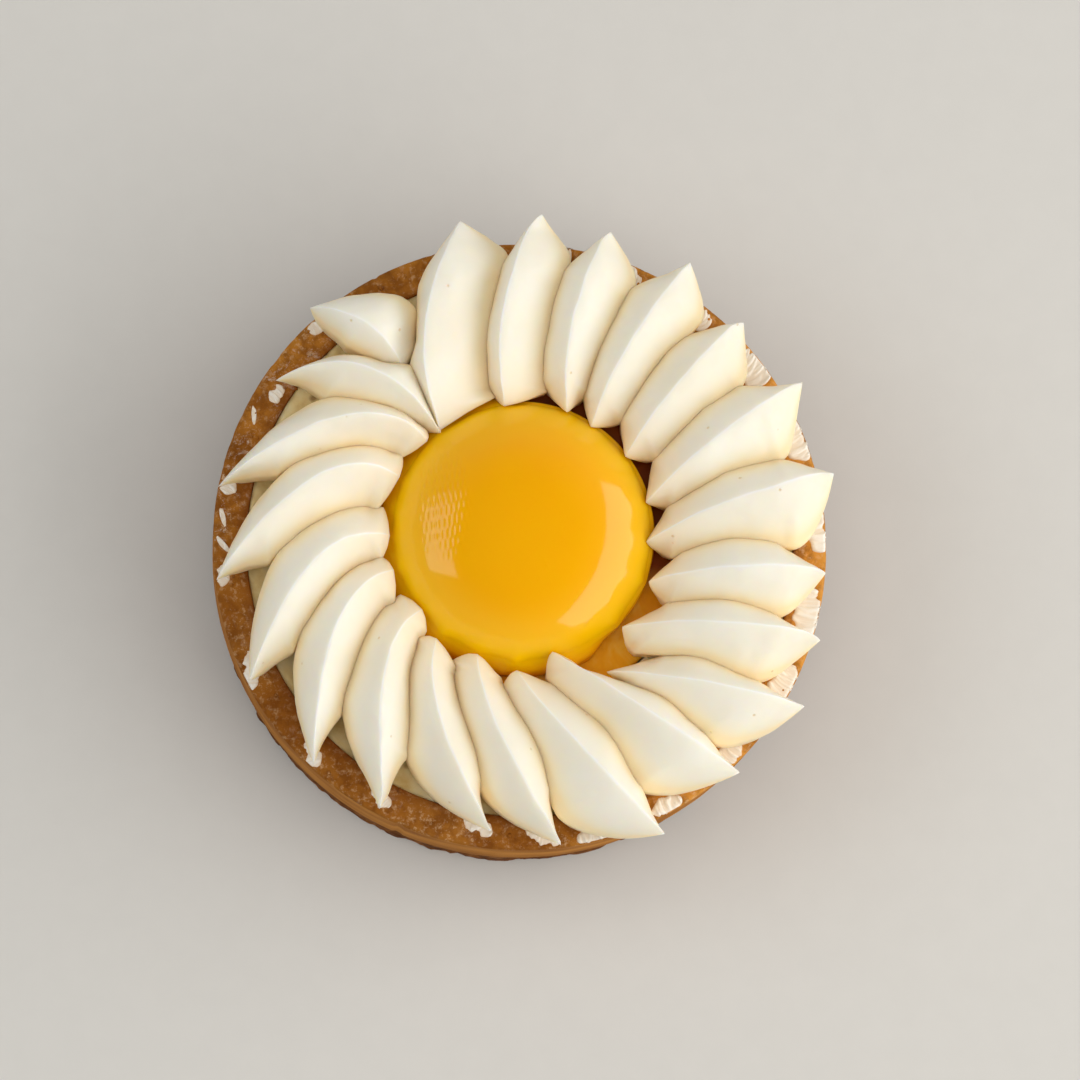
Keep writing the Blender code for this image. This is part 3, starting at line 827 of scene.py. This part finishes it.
def creamMaterial():
    material, nodes, links, shader, place = newMaterial("pipedCream")
    radius = polarNodes(nodes, links, place)[0]
    soft = noiseNode(nodes, links, place, 70, 3, 0.5)
    colour = rampNode(nodes, links, soft, [
        (0.3, (0.880, 0.830, 0.700)), (0.5, (0.900, 0.862, 0.750)), (0.7, (0.915, 0.885, 0.790))])
    # painted warm shade in the creases, and painted warm light from the mango at the inner ends
    crease = attributeNode(nodes, "crease")
    creasePaintedShade = mathNode(nodes, links, "MULTIPLY", crease, 0.7)
    colour = mixColours(nodes, links, creasePaintedShade, colour, (0.98, 0.86, 0.64))
    # painted shade: deeper and warmer right in the folds
    foldPaintedShade = mathNode(nodes, links, "MULTIPLY", mathNode(nodes, links, "POWER", crease, 3.0), 0.65)
    colour = mixColours(nodes, links, foldPaintedShade, colour, (1.0, 0.74, 0.40))
    # painted light: warm glow from the mango on the petals' inner ends
    inward = mapNode(nodes, links, radius, 0.0245, 0.0175, 0.0, 0.55)
    colour = mixColours(nodes, links, inward, colour, (0.99, 0.80, 0.56))
    # painted highlight: a white line along the crest
    crestPaintedHighlight = mathNode(nodes, links, "MULTIPLY", attributeNode(nodes, "crestPaintedHighlight"), 0.75)
    colour = mixColours(nodes, links, crestPaintedHighlight, colour, (0.97, 0.96, 0.93))
    # painted shade: darker yellow in small pits, which the bump also sinks
    pits = voronoiNode(nodes, links, place, 215)
    pitPaintedShade = mapNode(nodes, links, pits, 0.030, 0.055, 0.55, 0.0)
    colour = mixColours(nodes, links, pitPaintedShade, colour, (0.72, 0.50, 0.20))
    links.new(colour, shader.inputs["Base Color"])
    shader.inputs["Roughness"].default_value = 0.42
    shader.inputs["Specular IOR Level"].default_value = 0.35
    shader.inputs["Subsurface Weight"].default_value = 0.7
    shader.inputs["Subsurface Scale"].default_value = 2.2 * mm
    shader.inputs["Subsurface Radius"].default_value = (1.0, 0.80, 0.50)
    hollow = bumpNode(nodes, links, shader, mapNode(nodes, links, pits, 0.030, 0.060), 0.6, 0.15 * mm)
    bumpNode(nodes, links, shader, noiseNode(nodes, links, place, 900, 3, 0.5), 0.06, 0.06 * mm, hollow)
    return material


def buildPetal(index, material):
    s = petalSet
    deselectAll()
    # the ball's rings become the sections of the petal, its poles the two ends
    bpy.ops.mesh.primitive_uv_sphere_add(
        segments=s["around"], ring_count=s["along"], radius=1, location=(0, 0, 0))
    petal = bpy.context.object
    petal.name = f"piped_petal_{index + 1:02d}"
    crestHighlightMask = petal.data.attributes.new("crestPaintedHighlight", "FLOAT", "POINT")
    crease = petal.data.attributes.new("crease", "FLOAT", "POINT")
    drawn = s["drawnTips"].get(index)
    for vertex in petal.data.vertices:
        along = math.acos(max(-1.0, min(1.0, vertex.co.z))) / math.pi
        turn = (math.atan2(vertex.co.y, vertex.co.x) / (2 * math.pi)) % 1.0
        radius, azimuth, height = petalPoint(index, along, turn)
        fromCrest = min(turn, 1 - turn) * s["around"]
        # mask for the painted highlight along the crest
        crestHighlightMask.data[vertex.index].value = math.exp(-(fromCrest / 1.1) ** 2) * smoothstep(0, 0.1, along)
        # mask for the painted crease shade
        crease.data[vertex.index].value = min(1.0, fromCrest / (0.30 * s["around"])) ** 3
        azimuth = math.radians(azimuth)
        place = Vector((radius * math.cos(azimuth), radius * math.sin(azimuth), height))
        if drawn and along < s["drawnShare"]:  # the tip drawn out as the nozzle left
            pull = 1.5 * (1 - along / s["drawnShare"]) ** 2
            out = Vector((math.cos(azimuth), math.sin(azimuth), 0))
            clockwise = Vector((out.y, -out.x, 0))
            place += (out * drawn[0] + clockwise * drawn[1] + Vector((0, 0, drawn[2]))) * pull
        # the hand's unevenness
        calm = smoothstep(0, 0.08, along) * smoothstep(1, 0.92, along)
        wobble = Vector((grain(place, 5, index), grain(place, 5, index + 40), grain(place, 5, index + 80)))
        place += (wobble * s["wobble"] + Vector((0, 0, 0.03 * grain(place, 1.1, index, 2)))) * calm
        place.z = min(place.z, s["top"])
        vertex.co = place * mm
    petal.data.update()
    return finishPiece(petal, material, f"cream_petal_{index + 1:02d}")


cream = creamMaterial()
for index in range(petalSet["count"]):
    buildPetal(index, cream)
print("petals done")


# smears: torn films of cream on the rim beside the petals' tips, sunk into it where they end. Lengths in mm

smearSet = {
    "rimTop": 20.0, "rimRadius": 40.0, "rimRound": 0.55,
    "across": 72, "out": 40,           # squares of the grid
    "sunk": 0.16, "seat": 0.04,        # how far the ends and the rest are sunk in
    "body": 0.12,
    "soft": 0.45,                      # width over which an edge thickens
    "innerEdge": (35.9, 36.8),         # fades out here, before the rim ends
    "edgeGap": 0.16,
    # petal, degrees clockwise from its tip, radius, turn of the strands (clockwise from straight out),
    # half their length, half the width across them, thickness
    "places": (
        (1, 6.4, 38.4, 0, 1.6, 0.9, 0.28), (2, 6.8, 38.2, 10, 2.3, 1.8, 0.38),
        (3, 7.6, 38.2, 5, 2.0, 1.3, 0.34), (4, 7.6, 38.4, -12, 2.8, 3.0, 0.40),
        (5, 8.6, 38.7, -12, 2.4, 3.3, 0.40), (6, 9.2, 38.9, -10, 2.2, 3.2, 0.40),
        (7, 7.4, 38.8, -10, 2.4, 3.3, 0.40), (8, 10.5, 38.9, 0, 2.1, 3.2, 0.38),
        (9, 14.0, 38.4, 0, 1.6, 1.8, 0.34), (10, 13.5, 39.0, 0, 1.4, 2.2, 0.34),
        (11, 9.8, 39.2, 0, 1.7, 3.4, 0.42), (12, 2.6, 38.3, 28, 1.3, 2.4, 0.34),
        (13, 2.6, 37.1, 30, 1.3, 2.4, 0.34), (14, 1.2, 38.0, 15, 1.2, 1.6, 0.34),
        (15, 1.6, 38.7, 20, 1.2, 1.8, 0.32), (16, 2.6, 38.9, 20, 1.1, 2.6, 0.28),
        (17, 1.0, 38.9, 14, 1.1, 1.5, 0.30), (18, 0.4, 38.7, 10, 1.2, 1.3, 0.32),
        (19, -0.8, 37.4, 8, 1.2, 1.3, 0.32), (20, -0.6, 39.1, 5, 1.1, 1.1, 0.28),
        (18, -5.6, 38.9, 70, 1.7, 0.34, 0.20), (17, 7.0, 38.7, 50, 1.8, 0.36, 0.20),
        (19, -6.5, 38.6, 62, 1.8, 0.32, 0.20)),
}


def filmMaterial():
    material, nodes, links, shader, place = newMaterial("creamFilm")
    # thin film lets the crust through
    colour = rampNode(nodes, links, attributeNode(nodes, "film"), [
        (0.0, (0.60, 0.35, 0.16)), (0.12, (0.80, 0.63, 0.45)), (0.35, (0.90, 0.82, 0.70)),
        (0.7, (0.93, 0.885, 0.80))])
    links.new(colour, shader.inputs["Base Color"])
    shader.inputs["Roughness"].default_value = 0.38
    bumpNode(nodes, links, shader, noiseNode(nodes, links, place, 1600, 3, 0.6), 0.1, 0.05 * mm)
    return material


def smearHeight(number, smear, across, along):
    # strands of uneven length, softly rounded where they start
    length, width, thick = smear[4:]
    side = across * width
    bulk = math.sqrt(max(0.0, 1 - across ** 2))
    tongue = noise.noise(Vector((side * 0.8, 0, number * 3.7)))
    tear = noise.noise(Vector((side * 2.2, along * 0.8, number * 5.1 + 9)))
    start = noise.noise(Vector((side * 0.9, 4, number * 2.3 + 5)))
    ahead = bulk * (0.72 + 0.55 * tongue + 0.30 * tear) - along
    behind = bulk * (0.95 + 0.4 * start) + along
    depth = min(ahead, behind)
    if depth < 0:
        return -smearSet["sunk"]
    body = min(1.0, depth * length / smearSet["soft"]) ** 0.6
    bent = side + 0.35 * (along * length) ** 2 / width  # strands curve
    strand = noise.noise(Vector((bent * 1.5, along * length * 0.3, number * 1.7)))
    fine = noise.noise(Vector((bent * 3.6, along * length * 0.5, number * 4.3)))
    ridges = 0.50 * smoothstep(0.0, 0.32, strand) + 0.20 * smoothstep(0.0, 0.4, fine)
    return thick * body * (0.30 + ridges)


def buildSmear(number, smear, material):
    s = smearSet
    petal, past, centre, turned, length, width, thick = smear
    azimuth = math.radians(tipAzimuth(petal) - past)
    outward = azimuth - math.radians(turned)
    middle = Vector((math.cos(azimuth), math.sin(azimuth), 0)) * centre
    ahead = Vector((math.cos(outward), math.sin(outward), 0)) * length
    aside = Vector((math.sin(outward), -math.cos(outward), 0)) * width
    deselectAll()
    bpy.ops.mesh.primitive_grid_add(
        x_subdivisions=s["across"], y_subdivisions=s["out"], size=2, location=(0, 0, 0))
    obj = bpy.context.object
    obj.name = f"cream_smear_{number + 1:02d}"
    film = obj.data.attributes.new("film", "FLOAT", "POINT")
    for vertex in obj.data.vertices:
        across, along = vertex.co.x, vertex.co.y
        place = middle + ahead * along + aside * across
        radius = place.length
        onRim = smoothstep(s["innerEdge"][0], s["innerEdge"][1], radius)
        height = mix(-s["sunk"], min(thick, smearHeight(number, smear, across, along)), onRim)
        height = max(-s["sunk"], height)
        film.data[vertex.index].value = max(0.0, height / thick)
        place *= min(max(radius, s["innerEdge"][0]), s["rimRadius"] - s["edgeGap"]) / radius
        over = max(0.0, place.length - (s["rimRadius"] - s["rimRound"]))
        drop = s["rimRound"] - math.sqrt(max(0.0, s["rimRound"] ** 2 - over ** 2))
        vertex.co = (place + Vector((0, 0, s["rimTop"] - s["seat"] - drop + height))) * mm
    solid = obj.modifiers.new("body", "SOLIDIFY")
    solid.thickness = s["body"] * mm
    solid.offset = -1
    deselectAll()
    obj.select_set(True)
    bpy.context.view_layer.objects.active = obj
    bpy.ops.object.modifier_apply(modifier="body")
    return finishPiece(obj, material)


film = filmMaterial()
for number, smear in enumerate(smearSet["places"]):
    buildSmear(number, smear, film)
print("smears done")


# crumbs: baked bits on the rim and along its torn inner edge

crumbSet = {
    "count": 90, "seed": 7,
    "small": 0.12, "large": 0.34,     # radius in mm
    "edgeRing": (35.5, 36.1),         # every second one lies here, the others on the rim
    "rimRing": (36.4, 39.6),
    "level": 19.95,
}


def buildCrumbs(material):
    s = crumbSet
    random = np.random.default_rng(s["seed"])
    crumbs = []
    for number in range(s["count"]):
        deselectAll()
        radius = random.uniform(*(s["rimRing"] if number % 2 else s["edgeRing"]))
        turn = random.uniform(0, 2 * math.pi)
        size = random.uniform(s["small"], s["large"])
        place = Vector((radius * math.cos(turn), radius * math.sin(turn), s["level"] + 0.2 * size)) * mm
        bpy.ops.mesh.primitive_ico_sphere_add(
            subdivisions=1, radius=size * mm, location=place, rotation=tuple(random.uniform(0, math.pi, 3)))
        crumb = bpy.context.object
        bpy.ops.transform.resize(
            value=(random.uniform(0.7, 1.3), random.uniform(0.7, 1.3), random.uniform(0.5, 0.9)))
        for vertex in crumb.data.vertices:
            vertex.co *= 1 + 0.3 * random.uniform(-1, 1)
        crumbs.append(crumb)
    deselectAll()
    for crumb in crumbs:
        crumb.select_set(True)
    bpy.context.view_layer.objects.active = crumbs[0]
    bpy.ops.object.join()
    crumbs[0].name = "crust_crumbs"
    finishPiece(crumbs[0], material)


buildCrumbs(crust.data.materials[0])
print("crumbs done")


# stage: plain pale floor and soft studio light

stageSet = {
    "floorSize": 1.6,
    "floorColour": (0.70, 0.68, 0.64),
    "horizon": (1.0, 0.985, 0.96),
    "overhead": (0.10, 0.10, 0.10),
    "worldStrength": 0.42,
    "aim": (0, 0, 0.02),
    # light: place, width, height, power, colour
    "key": ((0.56, -0.13, 0.31), 1.15, 0.46, 3.9, (1.0, 0.98, 0.95)),
    "above": ((0.12, 0.0, 0.75), 1.0, 1.0, 2.5, (1.0, 0.985, 0.96)),
    "fill": ((-0.50, 0.03, 0.50), 0.50, 0.34, 1.1, (0.95, 0.98, 1.0)),
}


def addStage():
    deselectAll()
    bpy.ops.mesh.primitive_plane_add(size=stageSet["floorSize"], location=(0, 0, 0))
    floor = bpy.context.object
    floor.name = "floor"
    material, nodes, links, shader, place = newMaterial("paleFloor")
    high = stageSet["floorColour"]
    low = tuple(0.985 * channel for channel in high)
    tone = rampNode(nodes, links, noiseNode(nodes, links, place, 220, 4, 0.6), [(0.35, low), (0.65, high)])
    links.new(tone, shader.inputs["Base Color"])
    shader.inputs["Roughness"].default_value = 0.9
    shader.inputs["Specular IOR Level"].default_value = 0.1
    floor.data.materials.append(material)
    world = bpy.data.worlds.new("studio")
    world.use_nodes = True
    nodes, links = world.node_tree.nodes, world.node_tree.links
    split = nodes.new("ShaderNodeSeparateXYZ")
    links.new(nodes.new("ShaderNodeTexCoord").outputs["Generated"], split.inputs["Vector"])
    sky = rampNode(nodes, links, split.outputs["Z"], [
        (0.0, stageSet["horizon"]), (0.55, stageSet["horizon"]), (0.9, stageSet["overhead"])])
    links.new(sky, nodes["Background"].inputs["Color"])
    nodes["Background"].inputs["Strength"].default_value = stageSet["worldStrength"]
    bpy.context.scene.world = world


def addSoftbox(name):
    place, width, height, power, colour = stageSet[name]
    data = bpy.data.lights.new(name, "AREA")
    data.shape = "RECTANGLE"
    data.size = width
    data.size_y = height
    data.energy = power
    data.color = colour
    light = bpy.data.objects.new(name, data)
    light.location = place
    toAim = Vector(stageSet["aim"]) - Vector(place)
    light.rotation_euler = toAim.to_track_quat("-Z", "Y").to_euler()
    bpy.context.scene.collection.objects.link(light)
    return light


addStage()
addSoftbox("key")
above = addSoftbox("above")
above.visible_glossy = False  # no reflection of it, so the dome stays deep in colour
addSoftbox("fill")
bpy.context.scene.view_settings.view_transform = "Standard"
print("stage done")
